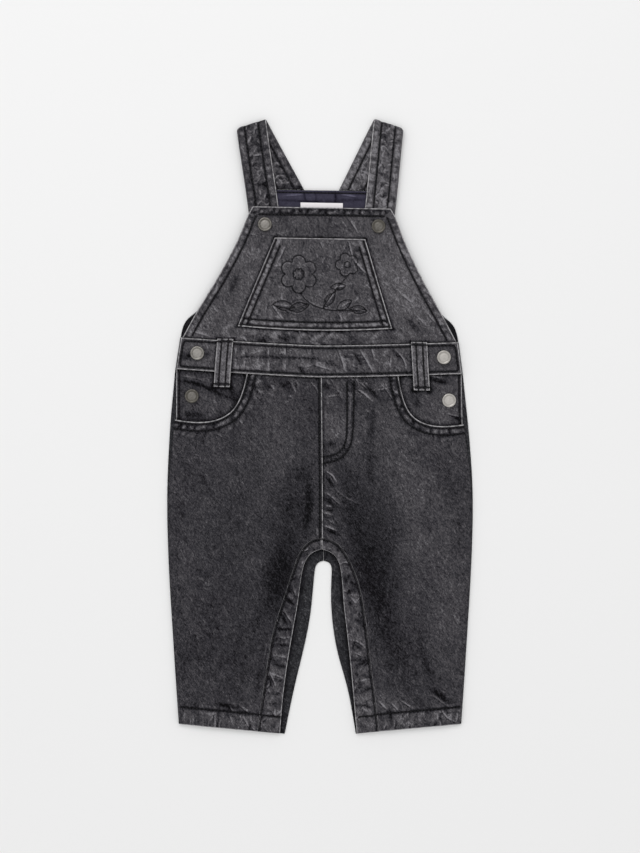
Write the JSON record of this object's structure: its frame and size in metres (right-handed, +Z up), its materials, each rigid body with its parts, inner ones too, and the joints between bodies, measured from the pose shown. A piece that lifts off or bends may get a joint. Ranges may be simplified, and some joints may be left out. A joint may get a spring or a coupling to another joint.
{
  "type": "kids dungarees",
  "caption": "Baby's dungarees in washed dark denim, laid flat: bib with a patch pocket, folded shoulder straps, waistband with belt loops, scooped hip pockets and short straight legs.",
  "frame": {"origin": "on the surface it lies on, under the middle of the garment", "axes": "+Y along the garment to the shoulders, +X to the right as seen from above, +Z up out of the front"},
  "size_m": [0.2596, 0.522, 0.0082],
  "materials": {
    "denim": "stone-washed charcoal twill, matt, paler on its raised edges",
    "navy_twill": "smooth dark navy cotton twill",
    "white_tape": "white woven tape, bare",
    "satin_steel": "satin nickel-plated cap, plain"
  },
  "bodies": {
    "root": {"back_bib": "denim", "back_waistband": "denim", "back_leg_left": "denim", "back_leg_right": "denim", "neck_facing": "navy_twill", "neck_label": "white_tape", "strap_left": "denim", "strap_right": "denim", "front_bib": "denim", "bib_pocket": "denim", "front_waistband": "denim", "front_leg_left": "denim", "front_leg_right": "denim", "inseam_band_left": "denim", "inseam_band_right": "denim", "pocket_facing_left": "denim", "pocket_facing_right": "denim", "belt_loop_left": "denim", "belt_loop_right": "denim", "snap_bib_left": "satin_steel", "snap_bib_right": "satin_steel", "snap_waist_left": "satin_steel", "snap_waist_right": "satin_steel", "snap_side_left": "satin_steel", "snap_side_right": "satin_steel"}
  },
  "joints": []
}
